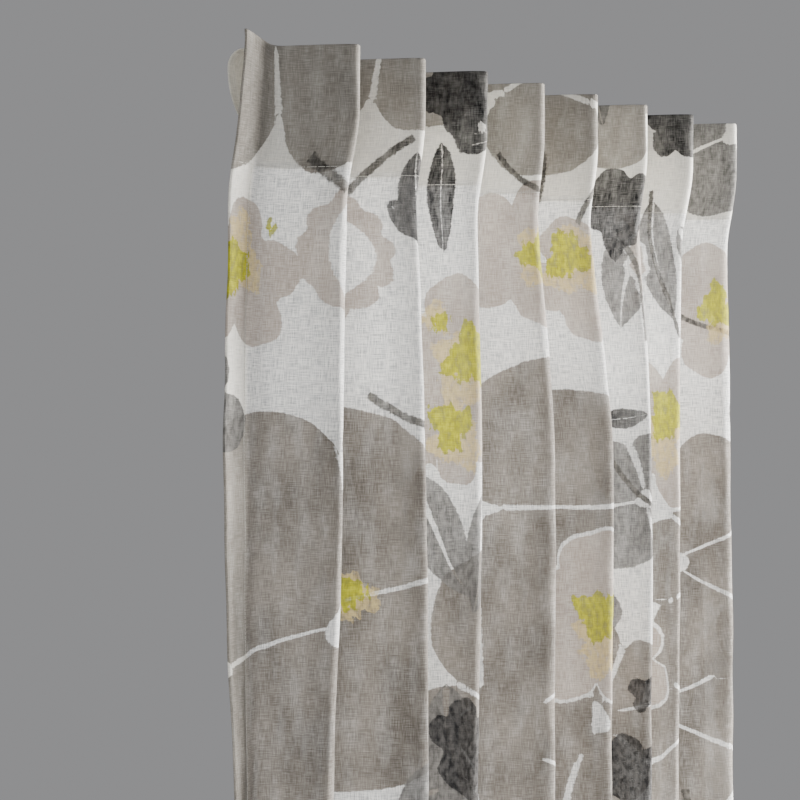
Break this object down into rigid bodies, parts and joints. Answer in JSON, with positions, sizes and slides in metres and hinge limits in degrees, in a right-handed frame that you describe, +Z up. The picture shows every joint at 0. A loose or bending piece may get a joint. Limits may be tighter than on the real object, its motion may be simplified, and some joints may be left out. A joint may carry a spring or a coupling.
{
  "type": "curtain panel",
  "caption": "Hung fabric curtain panel with back tabs for a rod, a folded heading, side and bottom hems, in soft even folds",
  "frame": {"origin": "on the axis of the rod that the tabs hang from, at the middle of the panel's width", "axes": "+X along the rod towards the leading edge, +Y from the room towards the window wall, +Z up"},
  "size_m": [0.8192, 0.0839, 2.134],
  "materials": {
    "printed_linen": "sheer slubbed linen, floral print",
    "tab_linen": "the same linen, unprinted side out",
    "sewing_thread": "matt spun thread",
    "label_tape": "smooth woven tape, blank"
  },
  "bodies": {
    "panel": {"face_panel": "printed_linen", "header_facing": "printed_linen", "header_stitch": "sewing_thread", "bottom_hem": "printed_linen", "bottom_stitch": "sewing_thread", "side_hem_left": "printed_linen", "side_stitch_left": "sewing_thread", "care_label": "label_tape", "back_tab_1": "tab_linen", "tab_top_tack_1": "sewing_thread", "tab_foot_tack_1": "sewing_thread"},
    "leading_edge": {"side_hem_right": "printed_linen", "side_stitch_right": "sewing_thread", "back_tab_9": "tab_linen", "tab_top_tack_9": "sewing_thread", "tab_foot_tack_9": "sewing_thread"},
    "tab_2": {"back_tab_2": "tab_linen", "tab_top_tack_2": "sewing_thread", "tab_foot_tack_2": "sewing_thread"},
    "tab_3": {"back_tab_3": "tab_linen", "tab_top_tack_3": "sewing_thread", "tab_foot_tack_3": "sewing_thread"},
    "tab_4": {"back_tab_4": "tab_linen", "tab_top_tack_4": "sewing_thread", "tab_foot_tack_4": "sewing_thread"},
    "tab_5": {"back_tab_5": "tab_linen", "tab_top_tack_5": "sewing_thread", "tab_foot_tack_5": "sewing_thread"},
    "tab_6": {"back_tab_6": "tab_linen", "tab_top_tack_6": "sewing_thread", "tab_foot_tack_6": "sewing_thread"},
    "tab_7": {"back_tab_7": "tab_linen", "tab_top_tack_7": "sewing_thread", "tab_foot_tack_7": "sewing_thread"},
    "tab_8": {"back_tab_8": "tab_linen", "tab_top_tack_8": "sewing_thread", "tab_foot_tack_8": "sewing_thread"}
  },
  "joints": [
    {"name": "draw", "type": "slide", "parent": "panel", "child": "leading_edge", "axis": [1, 0, 0], "range_m": [-0.368, 0], "deforming": ["face_panel", "header_facing", "header_stitch", "bottom_hem", "bottom_stitch", "side_hem_left", "side_stitch_left", "care_label"]},
    {"name": "tab_2_slide", "type": "slide", "parent": "panel", "child": "tab_2", "axis": [1, 0, 0], "range_m": [-0.046, 0]},
    {"name": "tab_3_slide", "type": "slide", "parent": "panel", "child": "tab_3", "axis": [1, 0, 0], "range_m": [-0.092, 0]},
    {"name": "tab_4_slide", "type": "slide", "parent": "panel", "child": "tab_4", "axis": [1, 0, 0], "range_m": [-0.138, 0]},
    {"name": "tab_5_slide", "type": "slide", "parent": "panel", "child": "tab_5", "axis": [1, 0, 0], "range_m": [-0.184, 0]},
    {"name": "tab_6_slide", "type": "slide", "parent": "panel", "child": "tab_6", "axis": [1, 0, 0], "range_m": [-0.23, 0]},
    {"name": "tab_7_slide", "type": "slide", "parent": "panel", "child": "tab_7", "axis": [1, 0, 0], "range_m": [-0.276, 0]},
    {"name": "tab_8_slide", "type": "slide", "parent": "panel", "child": "tab_8", "axis": [1, 0, 0], "range_m": [-0.322, 0]}
  ],
  "couplings": [
    {"joint": "tab_2_slide", "follows": "draw", "ratio": 0.125},
    {"joint": "tab_3_slide", "follows": "draw", "ratio": 0.25},
    {"joint": "tab_4_slide", "follows": "draw", "ratio": 0.375},
    {"joint": "tab_5_slide", "follows": "draw", "ratio": 0.5},
    {"joint": "tab_6_slide", "follows": "draw", "ratio": 0.625},
    {"joint": "tab_7_slide", "follows": "draw", "ratio": 0.75},
    {"joint": "tab_8_slide", "follows": "draw", "ratio": 0.875}
  ]
}
